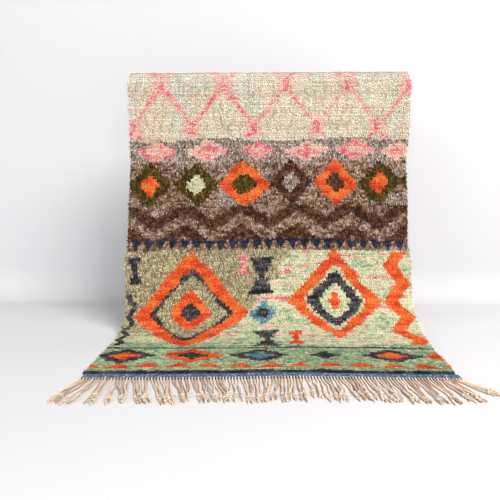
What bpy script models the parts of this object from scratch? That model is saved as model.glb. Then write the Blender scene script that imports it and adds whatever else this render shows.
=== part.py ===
"""A hand-knotted wool rug, folded over at its top and swept forward on to the floor, with a fringed front.

Metres, +Z up. The origin is the middle of the fold's inside, the line that the rug hangs by. The pile faces
-Y where the rug hangs, and "forward" below is the distance towards -Y. Heights are above the floor.
"""

import math
from typing import NamedTuple

import bmesh
import bpy
import numpy as np
from mathutils import Vector, noise

HANG_HEIGHT = 1.784  # the fold's inside above the floor
HALF_WIDTH = 1.0
PILE_THICKNESS = 0.016  # the ground weave with its packed pile
RIM_BULGE = 0.005  # how far the pile swells past the side cords
FOLD_RADIUS = 0.035  # the fold's inside
TAIL_LENGTH = 0.27  # the plain end behind the fold
TAIL_SLANT = 0.004  # how far the tail's end hangs away from the fold
HEADING_WIDTH = 0.084  # the flat-woven band in front of the pile
HEADING_THICKNESS = 0.004
HEADING_HALF_WIDTH = 0.987
PILE_END_SHARE = 0.62  # the pile's height at its two ends, where it is worn down
PILE_LUMP = 0.0014  # how much the pile's height varies
PILE_LUMP_SIZE = 0.07
PILE_FOOT = 0.003  # how far the pile's front foot spreads over the heading
SWELL = 0.006  # slow waves of the hung cloth
SWELL_SIZE = 0.75
SWELL_FADE = 0.5  # the waves fade out over this length below the fold and above the sweep
SWEEP_TOP = 0.25  # the height at which the waves have gone
PIECE_GAP = 0.0003

STRIP_DEPTH = 0.008
STRAND_WIDTH = 0.0066
STRAND_HEIGHT = 0.0052
STRAND_TOP = 0.62  # the width of a strand's top as a share of its foot
BUNCH_PULL = 0.30  # the share of the way that a strand's end is drawn to its bunch's middle
STRAND_SWAY = 0.008
SWAY_TURNS = 5.0  # how many radians of a wave a strand runs through
RANDOM_SEED = 7

COLUMNS = 20
DIRECTION_STEP = 0.004  # how far to each side of a point its direction is read


class SweepStation(NamedTuple):
    """A point of the cloth's underside at its left and right edges, from just under the fold to the floor."""

    left_forward: float
    left_height: float
    right_forward: float
    right_height: float


SWEEP_STATIONS = (
    SweepStation(0.037, 1.480, 0.036, 1.480),
    SweepStation(0.052, 1.180, 0.042, 1.190),
    SweepStation(0.092, 0.900, 0.056, 0.900),
    SweepStation(0.150, 0.640, 0.092, 0.620),
    SweepStation(0.205, 0.430, 0.148, 0.440),
    SweepStation(0.252, 0.275, 0.218, 0.295),
    SweepStation(0.290, 0.150, 0.302, 0.190),
    SweepStation(0.346, 0.070, 0.396, 0.108),
    SweepStation(0.440, 0.026, 0.516, 0.052),
    SweepStation(0.540, 0.006, 0.650, 0.018),
    SweepStation(0.630, 0.000, 0.780, 0.000),
)


class FrontStation(NamedTuple):
    """How far forward the fringe's roots lie at one place across the rug, from -1 at the left to 1."""

    across: float
    forward: float


FRONT_STATIONS = (
    FrontStation(-1.00, 1.300),
    FrontStation(-0.62, 1.288),
    FrontStation(-0.24, 1.272),
    FrontStation(0.07, 1.249),
    FrontStation(0.40, 1.254),
    FrontStation(0.80, 1.267),
    FrontStation(1.00, 1.266),
)


class EdgeStation(NamedTuple):
    """How far the side edges are drawn in at a distance below the fold, as the weaver's tension varied."""

    below_fold: float
    left: float
    right: float


EDGE_STATIONS = (
    EdgeStation(-0.10, -0.002, 0.008),
    EdgeStation(0.00, 0.010, 0.028),
    EdgeStation(0.10, -0.004, 0.006),
    EdgeStation(0.38, 0.007, 0.010),
    EdgeStation(0.65, 0.011, 0.032),
    EdgeStation(0.90, 0.003, 0.014),
    EdgeStation(1.19, 0.002, 0.017),
    EdgeStation(1.33, -0.014, -0.003),
    EdgeStation(1.47, 0.001, 0.006),
    EdgeStation(1.62, 0.008, 0.019),
    EdgeStation(1.80, 0.004, 0.013),
    EdgeStation(2.05, 0.001, 0.005),
    EdgeStation(2.43, 0.004, 0.008),
    EdgeStation(2.60, -0.002, 0.022),
)


class RowBand(NamedTuple):
    """A stretch of the cloth and its number of rows, as shares of the way from the fold to the front."""

    start: float
    stop: float
    rows: int


TAIL_ROWS = (RowBand(-1.0, -0.25, 3), RowBand(-0.25, 0.0, 4))
FRONT_ROWS = (
    RowBand(0.0, 0.028, 5),
    RowBand(0.028, 0.54, 12),
    RowBand(0.54, 0.80, 13),
    RowBand(0.80, 0.992, 6),
)


class Bunch(NamedTuple):
    """Strands that lie together: their number, their lean to the right per forward metre, their length."""

    strands: int
    lean: float
    length: float


BUNCHES = (
    Bunch(4, -0.20, 0.320),
    Bunch(3, -0.07, 0.335),
    Bunch(4, 0.04, 0.325),
    Bunch(2, 0.14, 0.325),
    Bunch(4, 0.17, 0.330),
    Bunch(6, 0.25, 0.335),
    Bunch(4, 0.26, 0.340),
    Bunch(3, 0.22, 0.335),
    Bunch(6, 0.22, 0.310),
    Bunch(7, 0.19, 0.315),
    Bunch(9, 0.13, 0.310),
    Bunch(7, 0.07, 0.322),
    Bunch(6, -0.01, 0.325),
    Bunch(2, -0.03, 0.335),
    Bunch(3, -0.02, 0.330),
    Bunch(3, -0.02, 0.320),
    Bunch(3, 0.04, 0.270),
    Bunch(2, 0.06, 0.290),
    Bunch(6, 0.07, 0.318),
    Bunch(7, 0.09, 0.305),
    Bunch(9, 0.06, 0.305),
    Bunch(4, 0.04, 0.320),
    Bunch(4, 0.03, 0.312),
    Bunch(4, 0.02, 0.335),
    Bunch(4, 0.04, 0.325),
    Bunch(5, 0.16, 0.300),
    Bunch(3, 0.42, 0.241),
)


class StrandStation(NamedTuple):
    """A strand's section at a share of its length, its width and height as shares of their full sizes."""

    along: float
    width: float
    height: float


STRAND_STATIONS = (
    StrandStation(0.14, 0.90, 0.90),
    StrandStation(0.38, 0.96, 1.00),
    StrandStation(0.64, 0.92, 0.95),
    StrandStation(0.88, 1.14, 1.15),
    StrandStation(1.00, 0.80, 0.60),
)


def clear_scene():
    for old in list(bpy.data.objects):
        bpy.data.objects.remove(old, do_unlink=True)


def smooth_step(share):
    share = min(max(share, 0.0), 1.0)
    return share * share * (3.0 - 2.0 * share)


def smooth_between(stations, key, field, place):
    """Reads a station table's field at a place, on a curve that eases from station to station."""
    places = [getattr(s, key) for s in stations]
    index = min(max(int(np.searchsorted(places, place)) - 1, 0), len(stations) - 2)
    start, stop = stations[index], stations[index + 1]
    share = smooth_step((place - places[index]) / (places[index + 1] - places[index]))
    return getattr(start, field) * (1.0 - share) + getattr(stop, field) * share


def curve_through(points, steps=12):
    """Catmull-Rom curve through the points, which starts at the second and ends at the last but one."""
    curve = []
    for a, b, c, d in zip(points, points[1:], points[2:], points[3:]):
        for step in range(steps):
            t = step / steps
            bend = 2 * a - 5 * b + 4 * c - d
            turn = 3 * b - a - 3 * c + d
            curve.append(b + 0.5 * t * ((c - a) + t * (bend + t * turn)))
    curve.append(points[-2])
    return curve


def front_edge(across):
    """How far forward the fringe's roots lie, on straight lines from column to column of the cloth."""
    places = column_places()
    reaches = [smooth_between(FRONT_STATIONS, "across", "forward", place) for place in places]
    return float(np.interp(across, places, reaches))


def pile_front(across):
    """How far forward the pile ends, behind the heading and the fringe's strip."""
    return front_edge(across) - STRIP_DEPTH - PIECE_GAP - HEADING_WIDTH


def column_places():
    return np.linspace(-1.0, 1.0, COLUMNS)


def fold_arc(start_degrees, stop_degrees, steps=16):
    """Points round the inside of the fold, at 0 in front, 90 on top and 180 behind, as (forward, height)."""
    centre = HANG_HEIGHT - FOLD_RADIUS
    points = []
    for step in range(steps + 1):
        turn = math.radians(start_degrees + (stop_degrees - start_degrees) * step / steps)
        points.append(Vector((FOLD_RADIUS * math.cos(turn), centre + FOLD_RADIUS * math.sin(turn))))
    return points


def front_path(across):
    """The cloth's underside from the fold's top to the pile's front edge, as (forward, height) points."""
    right = smooth_step(0.5 + 0.5 * across)
    stations = [
        Vector((s.left_forward, s.left_height)).lerp(Vector((s.right_forward, s.right_height)), right)
        for s in SWEEP_STATIONS
    ]
    arc = fold_arc(90, 0)
    touchdown = stations[-1]
    ahead = Vector((touchdown.x + 0.15, 0.0))
    hung = curve_through([arc[-2], arc[-1]] + stations + [ahead])
    for point in hung:
        point.y = max(point.y, 0.0)
    return arc[:-1] + hung + [Vector((pile_front(across), 0.0))]


def tail_path():
    """The underside from the tail's lower end up to the fold's top, as (forward, height) points."""
    arc = fold_arc(180, 90)
    return [Vector((-FOLD_RADIUS - TAIL_SLANT, arc[0].y - TAIL_LENGTH))] + arc


def length_along(path):
    """The distance along a path to each of its points."""
    steps = [0.0] + [(b - a).length for a, b in zip(path, path[1:])]
    return np.cumsum(steps)


def read_path(path, lengths, distance):
    x = np.interp(distance, lengths, [p.x for p in path])
    y = np.interp(distance, lengths, [p.y for p in path])
    return Vector((x, y))


def point_on(path, lengths, distance):
    """A point at a distance along a path, with the path's unit direction there."""
    ahead = min(distance + DIRECTION_STEP, lengths[-1])
    behind = max(ahead - 2 * DIRECTION_STEP, 0.0)
    direction = read_path(path, lengths, ahead) - read_path(path, lengths, behind)
    return read_path(path, lengths, distance), direction.normalized()


def row_shares(bands):
    """Every row's share of its path, from the row bands."""
    shares = []
    for band in bands:
        shares.extend(np.linspace(band.start, band.stop, band.rows, endpoint=False))
    shares.append(bands[-1].stop)
    return shares


def edge_draw_in(across, below_fold):
    """How far the edge on this side is drawn in, at a distance below the fold."""
    side = "left" if across < 0 else "right"
    return smooth_between(EDGE_STATIONS, "below_fold", side, below_fold)


def sideways(across, below_fold):
    """X of a place in the pile field."""
    return across * (HALF_WIDTH - RIM_BULGE - edge_draw_in(across, below_fold))


def swell(across, below_fold, height):
    """A slow wave of the hung cloth, which dies out at the fold and well above the floor."""
    hung = smooth_step(below_fold / SWELL_FADE) * smooth_step((height - SWEEP_TOP) / SWELL_FADE)
    place = Vector((across * HALF_WIDTH, 0.5 * below_fold, 2.8)) / SWELL_SIZE
    return SWELL * hung * noise.noise(place)


def lump(across, below_fold):
    """The pile's uneven thickness."""
    place = Vector((across * HALF_WIDTH, below_fold, 0.1)) / PILE_LUMP_SIZE
    return PILE_LUMP * noise.noise(place)


class Station(NamedTuple):
    """A place on the underside with the unit direction out through the pile, in world axes."""

    under: Vector
    outward: Vector
    below_fold: float


def to_world(x, forward_height):
    return Vector((x, -forward_height.x, forward_height.y - HANG_HEIGHT))


def station_at(path, lengths, distance, across, below_fold):
    place, direction = point_on(path, lengths, distance)
    wave = swell(across, below_fold, place.y) if below_fold > 0 else 0.0
    place.x += wave
    outward = Vector((0.0, direction.y, direction.x))
    return Station(to_world(sideways(across, below_fold), place), outward, below_fold)


def column_stations(across):
    """The stations of one column of the pile field, from the tail's end to the pile's front edge."""
    tail = tail_path()
    tail_lengths = length_along(tail)
    front = front_path(across)
    front_lengths = length_along(front)
    stations = []
    for share in row_shares(TAIL_ROWS)[:-1]:
        below_fold = share * tail_lengths[-1]
        stations.append(station_at(tail, tail_lengths, tail_lengths[-1] + below_fold, across, below_fold))
    for share in row_shares(FRONT_ROWS):
        distance = share * front_lengths[-1]
        stations.append(station_at(front, front_lengths, distance, across, distance))
    return stations


def heading_stations(across, after_pile):
    """The flat-woven band's stations: one just ahead of the pile's foot and one at its front edge."""
    edge = front_edge(across) - STRIP_DEPTH - PIECE_GAP
    up = Vector((0.0, 0.0, 1.0))
    stations = []
    for forward in (pile_front(across) + PILE_FOOT, edge):
        under = to_world(across * HEADING_HALF_WIDTH, Vector((forward, 0.0)))
        stations.append(Station(under, up, after_pile))
    return stations


def rows_of_cloth():
    """Rows of (underside, top) points across the cloth, from the tail's end to the heading's front edge."""
    columns = []
    for across in column_places():
        pile = column_stations(across)
        pairs = []
        for number, station in enumerate(pile):
            last = number in (0, len(pile) - 1)
            thickness = PILE_THICKNESS * (PILE_END_SHARE if last else 1.0) + lump(across, station.below_fold)
            pairs.append((station.under, station.under + station.outward * thickness))
        for station in heading_stations(across, pile[-1].below_fold):
            pairs.append((station.under, station.under + station.outward * HEADING_THICKNESS))
        columns.append(pairs)
    return list(zip(*columns))


def bulged(under, top, outward):
    """The rim's middle point, pushed out past the edge by the pile's swelling."""
    share = (top - under).length / PILE_THICKNESS
    return under.lerp(top, 0.5) + outward * RIM_BULGE * share * share


def make_cloth():
    """One closed solid: underside, pile side, and a rounded rim at both side edges."""
    rows = rows_of_cloth()
    mesh = bmesh.new()
    loops = []
    for row in rows:
        left = bulged(*row[0], Vector((-1.0, 0.0, 0.0)))
        right = bulged(*row[-1], Vector((1.0, 0.0, 0.0)))
        ring = [under for under, _ in row] + [right] + [top for _, top in reversed(row)] + [left]
        loops.append([mesh.verts.new(point) for point in ring])
    for this, following in zip(loops, loops[1:]):
        for i in range(len(this)):
            j = (i + 1) % len(this)
            mesh.faces.new((this[i], this[j], following[j], following[i]))
    for ring in (loops[0], loops[-1]):
        close_end(mesh, ring)
    return finish(mesh, "rug_cloth")


def close_end(mesh, ring):
    """Closes the cloth's end with quads from underside to top and a triangle at each rim."""
    count = (len(ring) - 2) // 2
    under = ring[:count]
    top = ring[count + 1 : 2 * count + 1][::-1]
    for i in range(count - 1):
        mesh.faces.new((under[i], under[i + 1], top[i + 1], top[i]))
    mesh.faces.new((under[-1], ring[count], top[-1]))
    mesh.faces.new((under[0], top[0], ring[-1]))


class Strand(NamedTuple):
    """A strand's root across the fringe, its length, lean, and sideways pull and sway at its end."""

    x: float
    length: float
    lean: float
    pull: float
    sway: float
    turn: float


def strand_plan():
    """Every strand of the fringe, in bunches that draw together and sway as one."""
    chance = np.random.default_rng(RANDOM_SEED)
    pitch = 2 * HEADING_HALF_WIDTH / sum(bunch.strands for bunch in BUNCHES)
    strands = []
    edge = -HEADING_HALF_WIDTH
    for bunch in BUNCHES:
        middle = edge + 0.5 * bunch.strands * pitch
        sway = STRAND_SWAY * chance.uniform(-1.0, 1.0)
        turn = chance.uniform(0.0, math.pi)
        for member in range(bunch.strands):
            x = edge + (member + 0.5) * pitch
            length = bunch.length * chance.uniform(0.93, 1.04)
            strands.append(Strand(x, length, bunch.lean, BUNCH_PULL * (middle - x), sway, turn))
        edge += bunch.strands * pitch
    return strands


def strand_centre(strand, along):
    """The middle of a strand's foot at a share of its length, as (x, forward of its root)."""
    forward = strand.length * along / math.hypot(1.0, strand.lean)
    ease = smooth_step(along)
    wave = strand.sway * ease * math.sin(strand.turn + SWAY_TURNS * along)
    return strand.x + strand.lean * forward + strand.pull * ease + wave, forward


def strand_direction(strand, along):
    """Unit direction of a strand in plan, as (x, forward)."""
    step = DIRECTION_STEP / strand.length
    x0, f0 = strand_centre(strand, max(along - step, 0.0))
    x1, f1 = strand_centre(strand, min(along + step, 1.0))
    size = math.hypot(x1 - x0, f1 - f0)
    return (x1 - x0) / size, (f1 - f0) / size


def strand_ring(mesh, strand, station, root_forward):
    """Four corners of a strand's section, flat on the floor: left foot, right foot, right top, left top."""
    x, forward = strand_centre(strand, station.along)
    dx, df = strand_direction(strand, station.along)
    half = 0.5 * STRAND_WIDTH * station.width
    height = STRAND_HEIGHT * station.height
    corners = []
    top = half * STRAND_TOP
    for offset, rise in ((-half, 0.0), (half, 0.0), (top, height), (-top, height)):
        place = Vector((root_forward + forward - offset * dx, rise))
        corners.append(mesh.verts.new(to_world(x + offset * df, place)))
    return corners


def strip_edges(strands):
    """Places across the strip where its cells meet: its ends, and both sides of every strand's root."""
    edges = [-HEADING_HALF_WIDTH]
    for strand in strands:
        edges.extend((strand.x - 0.5 * STRAND_WIDTH, strand.x + 0.5 * STRAND_WIDTH))
    return edges + [HEADING_HALF_WIDTH]


def strip_corners(mesh, x):
    """The strip's section at x: back foot, front foot, front top, back top."""
    front = front_edge(x / HEADING_HALF_WIDTH)
    corners = []
    for forward, height in (
        (front - STRIP_DEPTH, 0.0),
        (front, 0.0),
        (front, HEADING_THICKNESS),
        (front - STRIP_DEPTH, HEADING_THICKNESS),
    ):
        corners.append(mesh.verts.new(to_world(x, Vector((forward, height)))))
    return corners


def make_fringe():
    """The fringe: a narrow strip with every strand drawn out of a cell of its front face."""
    mesh = bmesh.new()
    strands = strand_plan()
    sections = [strip_corners(mesh, x) for x in strip_edges(strands)]
    mesh.faces.new(sections[0])
    mesh.faces.new(sections[-1])
    for number, (left, right) in enumerate(zip(sections, sections[1:])):
        for side in (0, 2, 3):
            after = (side + 1) % 4
            mesh.faces.new((left[side], left[after], right[after], right[side]))
        if number % 2 == 0:
            mesh.faces.new((left[1], left[2], right[2], right[1]))
        else:
            root = [left[1], right[1], right[2], left[2]]
            draw_strand(mesh, strands[number // 2], root)
    return finish(mesh, "front_fringe")


def draw_strand(mesh, strand, root):
    """Runs one strand forward from its root's four corners to its closed tip."""
    root_forward = front_edge(strand.x / HEADING_HALF_WIDTH)
    ring = root
    for station in STRAND_STATIONS:
        following = strand_ring(mesh, strand, station, root_forward)
        for side in range(4):
            after = (side + 1) % 4
            mesh.faces.new((ring[side], ring[after], following[after], following[side]))
        ring = following
    mesh.faces.new(ring)


def finish(mesh, name):
    """Turns a bmesh into a named object with its faces pointing out."""
    bmesh.ops.recalc_face_normals(mesh, faces=mesh.faces[:])
    data = bpy.data.meshes.new(name)
    mesh.to_mesh(data)
    mesh.free()
    made = bpy.data.objects.new(name, data)
    bpy.context.scene.collection.objects.link(made)
    return made


def give_material(made, name, colour, roughness):
    """A Principled material; the colour is linear RGB."""
    material = bpy.data.materials.new(name)
    material.use_nodes = True
    shader = next(n for n in material.node_tree.nodes if n.type == "BSDF_PRINCIPLED")
    shader.inputs["Base Color"].default_value = (*colour, 1.0)
    shader.inputs["Roughness"].default_value = roughness
    shader.inputs["Metallic"].default_value = 0.0
    made.data.materials.append(material)


def main():
    clear_scene()
    cloth = make_cloth()
    cloth.data.shade_smooth()
    give_material(cloth, "hand-spun wool pile", (0.42, 0.36, 0.26), 0.95)
    give_material(make_fringe(), "ecru warp ends", (0.80, 0.70, 0.54), 0.90)


main()
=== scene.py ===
import math
from collections import namedtuple

import bpy
import numpy as np
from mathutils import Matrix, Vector, noise
from numpy.random import default_rng


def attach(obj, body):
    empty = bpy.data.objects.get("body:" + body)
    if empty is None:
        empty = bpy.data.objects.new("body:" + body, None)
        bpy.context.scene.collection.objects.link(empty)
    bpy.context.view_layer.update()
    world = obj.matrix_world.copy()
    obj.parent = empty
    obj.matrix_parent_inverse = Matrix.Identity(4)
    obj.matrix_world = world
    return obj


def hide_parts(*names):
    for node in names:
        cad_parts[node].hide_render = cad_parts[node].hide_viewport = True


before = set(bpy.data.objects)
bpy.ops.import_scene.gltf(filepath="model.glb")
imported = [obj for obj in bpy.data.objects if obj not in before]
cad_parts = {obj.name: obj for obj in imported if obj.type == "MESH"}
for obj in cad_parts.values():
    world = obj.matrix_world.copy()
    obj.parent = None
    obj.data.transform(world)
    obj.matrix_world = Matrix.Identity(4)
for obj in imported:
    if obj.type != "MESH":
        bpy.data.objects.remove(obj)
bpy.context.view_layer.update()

HANG_HEIGHT = 1.784  # the fold's inside above the floor
HALF_WIDTH = 1.0
RIM_BULGE = 0.005  # how far the pile's rim stands out past the ground weave
FOLD_RADIUS = 0.035
TAIL_LENGTH = 0.27
TAIL_SLANT = 0.004  # how far behind the fold the tail's lower end hangs
HEADING_WIDTH = 0.084
HEADING_THICKNESS = 0.004
HEADING_HALF_WIDTH = 0.987
STRIP_DEPTH = 0.008  # the strip in front of the heading, where the fringe is rooted
PIECE_GAP = 0.0003
FRONT_COLUMNS = 20  # places across between which the front edge runs straight
SWELL_DEPTH = 0.006  # of the hung cloth's slow waves
SWELL_SIZE = 0.75
SWELL_FADE = 0.5
SWEEP_TOP = 0.25  # the height above the floor at which the waves have died out
CURVE_LEAD = 0.15  # how far past its last station the sweep's curve is aimed
DIRECTION_STEP = 0.004

TAIL_RUN = 0.325  # flat length behind the top of the fold
FRONT_RUN = 2.58  # flat length of the pile in front of it
KNOT_COLUMNS = 270
KNOT_ROWS = 252
KNOT_WIDTH = 2 * HALF_WIDTH / KNOT_COLUMNS
ROW_PITCH = (TAIL_RUN + FRONT_RUN) / KNOT_ROWS
BED_LIFT = 0.010  # the ground weave and the knots' collars, up to where the locks part
END_LIFT_SHARE = 0.55  # the share of it left at the two ends, where the pile is worn down
END_FADE = 0.030
RIDGE_PITCH = 0.019
RIDGE_HEIGHT = 0.0010
PARTING_DEPTH = 0.0024  # where rows of pile fall apart, seen most on the floor
LOCK_SINK = 0.0020  # how deep a lock is rooted in the bed
STRAY_ACROSS = 0.20  # how far a lock strays from its knot, in knots across and in rows
STRAY_DOWN = 0.16
LOCK_WIDTHS = (0.80, 1.20)
LOCK_LENGTHS = (0.70, 1.25)
LOCK_HEIGHTS = (0.75, 1.25)
LOCK_TURN = 0.30  # how far locks turn aside by chance, in radians
BRUSHED_TURN = 0.22  # how far a whole patch of them is brushed aside
EDGE_TURN = 0.6  # how far they turn outwards at the side edges
EDGE_ZONE = 0.025
LOCK_REACH = 0.020  # how far a lock lies over the rows below it
SHORTEST_LOCK = 0.20  # the share of that left to the last locks, which are trimmed at the heading
CREST_RISE = 0.06  # how far the locks stand up along the top of the fold, in radians
CREST_REACH = 0.075
CREST_HIGHLIGHT = 0.65  # painted highlight: how far the yarn is painted lighter along the top of the fold, where the light falls most
HIGHLIGHT_REACH = 0.115
# the pale colour that this painted highlight mixes in
HIGHLIGHT_WOOL = "F6EEE6"
COLOUR_NAME = "yarn"
BAKE_MAP = "OFBake"


def rows_of(kind, *rows):
    """A table whose rows all are of one kind."""
    return tuple(kind(*row) for row in rows)


# A point of the cloth's underside at its left and right edges, from under the fold to the floor
SweepStation = namedtuple("SweepStation", "left_forward left_height right_forward right_height")
SWEEP_STATIONS = rows_of(
    SweepStation,
    (0.037, 1.480, 0.036, 1.480),
    (0.052, 1.180, 0.042, 1.190),
    (0.092, 0.900, 0.056, 0.900),
    (0.150, 0.640, 0.092, 0.620),
    (0.205, 0.430, 0.148, 0.440),
    (0.252, 0.275, 0.218, 0.295),
    (0.290, 0.150, 0.302, 0.190),
    (0.346, 0.070, 0.396, 0.108),
    (0.440, 0.026, 0.516, 0.052),
    (0.540, 0.006, 0.650, 0.018),
    (0.630, 0.000, 0.780, 0.000),
)

# How far forward the fringe's roots lie at one place across the rug
FrontStation = namedtuple("FrontStation", "across forward")
FRONT_STATIONS = rows_of(
    FrontStation,
    (-1.00, 1.300),
    (-0.62, 1.288),
    (-0.24, 1.272),
    (0.07, 1.249),
    (0.40, 1.254),
    (0.80, 1.267),
    (1.00, 1.266),
)

# How far the side edges are drawn in at a distance below the fold, as the weaver's tension varied
EdgeStation = namedtuple("EdgeStation", "below_fold left right")
EDGE_STATIONS = rows_of(
    EdgeStation,
    (-0.10, -0.002, 0.008),
    (0.00, 0.010, 0.028),
    (0.10, -0.004, 0.006),
    (0.38, 0.007, 0.010),
    (0.65, 0.011, 0.032),
    (0.90, 0.003, 0.014),
    (1.19, 0.002, 0.017),
    (1.33, -0.014, -0.003),
    (1.47, 0.001, 0.006),
    (1.62, 0.008, 0.019),
    (1.80, 0.004, 0.013),
    (2.05, 0.001, 0.005),
    (2.43, 0.004, 0.008),
    (2.60, -0.002, 0.022),
)

# Strands that lie together: their number, their lean to the right per forward metre, their length
Bunch = namedtuple("Bunch", "strands lean length")
BUNCHES = rows_of(
    Bunch,
    (4, -0.20, 0.320), (3, -0.07, 0.335), (4, 0.04, 0.325), (2, 0.14, 0.325),
    (4, 0.17, 0.330), (6, 0.25, 0.335), (4, 0.26, 0.340), (3, 0.22, 0.335),
    (6, 0.22, 0.310), (7, 0.19, 0.315), (9, 0.13, 0.310), (7, 0.07, 0.322),
    (6, -0.01, 0.325), (2, -0.03, 0.335), (3, -0.02, 0.330), (3, -0.02, 0.320),
    (3, 0.04, 0.270), (2, 0.06, 0.290), (6, 0.07, 0.318), (7, 0.09, 0.305),
    (9, 0.06, 0.305), (4, 0.04, 0.320), (4, 0.03, 0.312), (4, 0.02, 0.335),
    (4, 0.04, 0.325), (5, 0.16, 0.300), (3, 0.42, 0.241),
)
STRAND_COUNT = sum(bunch.strands for bunch in BUNCHES)


# The cloth's shape, as it hangs

def smooth_step(share):
    share = np.clip(share, 0.0, 1.0)
    return share * share * (3.0 - 2.0 * share)


def smooth_between(stations, key, field, place):
    """Reads a station table's field at places, on a curve that eases from station to station."""
    places = np.array([getattr(s, key) for s in stations])
    values = np.array([getattr(s, field) for s in stations])
    index = np.clip(np.searchsorted(places, place) - 1, 0, len(stations) - 2)
    share = smooth_step((place - places[index]) / (places[index + 1] - places[index]))
    return values[index] * (1.0 - share) + values[index + 1] * share


def read_between(grid, i, j, a, b):
    """Reads a grid at the shares a of the way from i to i + 1, and b of the way from j to j + 1."""
    near = grid[i, j] * (1 - a) + grid[i + 1, j] * a
    far = grid[i, j + 1] * (1 - a) + grid[i + 1, j + 1] * a
    return near * (1 - b) + far * b


def curve_through(points, steps=12):
    """Catmull-Rom curve through the points, which starts at the second and ends at the last but one."""
    curve = []
    for a, b, c, d in zip(points, points[1:], points[2:], points[3:]):
        for step in range(steps):
            t = step / steps
            bend = 2 * a - 5 * b + 4 * c - d
            turn = 3 * b - a - 3 * c + d
            curve.append(b + 0.5 * t * ((c - a) + t * (bend + t * turn)))
    curve.append(points[-2])
    return curve


def front_edge(across):
    """How far forward the fringe's roots lie, on straight lines from column to column of the cloth."""
    places = np.linspace(-1.0, 1.0, FRONT_COLUMNS)
    return np.interp(across, places, smooth_between(FRONT_STATIONS, "across", "forward", places))


def pile_front(across):
    """How far forward the pile ends, behind the heading and the fringe's roots."""
    return front_edge(across) - STRIP_DEPTH - PIECE_GAP - HEADING_WIDTH


def fold_arc(start_degrees, stop_degrees, steps=24):
    """Points round the inside of the fold, at 0 in front, 90 on top and 180 behind, as (forward, height)."""
    turns = np.radians(np.linspace(start_degrees, stop_degrees, steps + 1))
    centre = HANG_HEIGHT - FOLD_RADIUS
    return [np.array((FOLD_RADIUS * math.cos(t), centre + FOLD_RADIUS * math.sin(t))) for t in turns]


def front_path(across):
    """The cloth's underside from the fold's top to the pile's front edge, as (forward, height) points."""
    right = smooth_step(0.5 + 0.5 * across)
    sides = np.array(SWEEP_STATIONS).reshape(-1, 2, 2)
    stations = list(sides[:, 0] * (1 - right) + sides[:, 1] * right)
    arc = fold_arc(90, 0)
    ahead = stations[-1] + (CURVE_LEAD, 0.0)
    hung = np.array(curve_through([arc[-2], arc[-1]] + stations + [ahead]))
    hung[:, 1] = np.maximum(hung[:, 1], 0.0)
    return np.vstack([arc[:-1], hung, (pile_front(across), 0.0)])


def tail_path():
    """The underside from the tail's lower end up to the fold's top, as (forward, height) points."""
    arc = fold_arc(180, 90)
    return np.vstack([(-FOLD_RADIUS - TAIL_SLANT, arc[0][1] - TAIL_LENGTH), arc])


def read_path(path, shares):
    """Points at shares of a path's length, and the unit directions there."""
    lengths = np.concatenate(([0.0], np.cumsum(np.linalg.norm(np.diff(path, axis=0), axis=1))))
    distances = shares * lengths[-1]
    ahead = np.minimum(distances + DIRECTION_STEP, lengths[-1])
    behind = np.maximum(ahead - 2 * DIRECTION_STEP, 0.0)

    def at(distance):
        return np.stack([np.interp(distance, lengths, path[:, axis]) for axis in (0, 1)], 1)

    run = at(ahead) - at(behind)
    return at(distances), run / np.linalg.norm(run, axis=1, keepdims=True)


def swell(across, below_fold, height):
    """A slow wave of the hung cloth, which dies out at the fold and well above the floor."""
    hung = smooth_step(below_fold / SWELL_FADE) * smooth_step((height - SWEEP_TOP) / SWELL_FADE)
    place = Vector((across * HALF_WIDTH, 0.5 * below_fold, 2.8)) / SWELL_SIZE
    return SWELL_DEPTH * hung * noise.noise(place)


DRAPE_ACROSS = np.linspace(-1.0, 1.0, 41)
DRAPE_DOWN = np.linspace(-TAIL_RUN, FRONT_RUN, 586)


def drape_table():
    """Forward, height, and direction's forward and height, at every DRAPE_ACROSS and DRAPE_DOWN."""
    behind = DRAPE_DOWN < 0
    tail_points, tail_directions = read_path(tail_path(), 1 + DRAPE_DOWN[behind] / TAIL_RUN)
    table = np.empty((len(DRAPE_ACROSS), len(DRAPE_DOWN), 4))
    for column, across in enumerate(DRAPE_ACROSS):
        points, directions = read_path(front_path(across), DRAPE_DOWN[~behind] / FRONT_RUN)
        for row, down in enumerate(DRAPE_DOWN[~behind]):
            points[row, 0] += swell(across, down, points[row, 1])
        table[column, behind] = np.hstack([tail_points, tail_directions])
        table[column, ~behind] = np.hstack([points, directions])
    return table


DRAPE = drape_table()

# Places in the hung rug: points, and unit directions out through the pile and on down the cloth
Place = namedtuple("Place", "point outward onward")


def hang(across, down, lift=0.0):
    """Gives flat places, at a lift above the underside, their places in the hung rug."""
    across, down, lift = np.broadcast_arrays(across, down, lift)
    u = np.clip((across + 1) / 2, 0, 1) * (len(DRAPE_ACROSS) - 1)
    v = np.clip((down + TAIL_RUN) / (TAIL_RUN + FRONT_RUN), 0, 1) * (len(DRAPE_DOWN) - 1)
    i = np.minimum(u.astype(int), len(DRAPE_ACROSS) - 2)
    j = np.minimum(v.astype(int), len(DRAPE_DOWN) - 2)
    a, b = (u - i)[..., None], (v - j)[..., None]
    forward, height, run, rise = np.moveaxis(read_between(DRAPE, i, j, a, b), -1, 0)
    size = np.hypot(run, rise)
    left = smooth_between(EDGE_STATIONS, "below_fold", "left", down)
    right = smooth_between(EDGE_STATIONS, "below_fold", "right", down)
    x = across * (HALF_WIDTH - RIM_BULGE - np.where(across < 0, left, right))
    level = np.zeros_like(x)
    outward = np.stack([level, rise / size, run / size], -1)
    onward = np.stack([level, -run / size, rise / size], -1)
    point = np.stack([x, -forward, height - HANG_HEIGHT], -1) + outward * lift[..., None]
    return Place(point, outward, onward)


# The knots' colours

def linear(value):
    """An sRGB hex colour as linear red, green and blue."""
    srgb = np.array([int(value[i : i + 2], 16) / 255 for i in (0, 2, 4)])
    return np.where(srgb <= 0.04045, srgb / 12.92, ((srgb + 0.055) / 1.055) ** 2.4)


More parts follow.
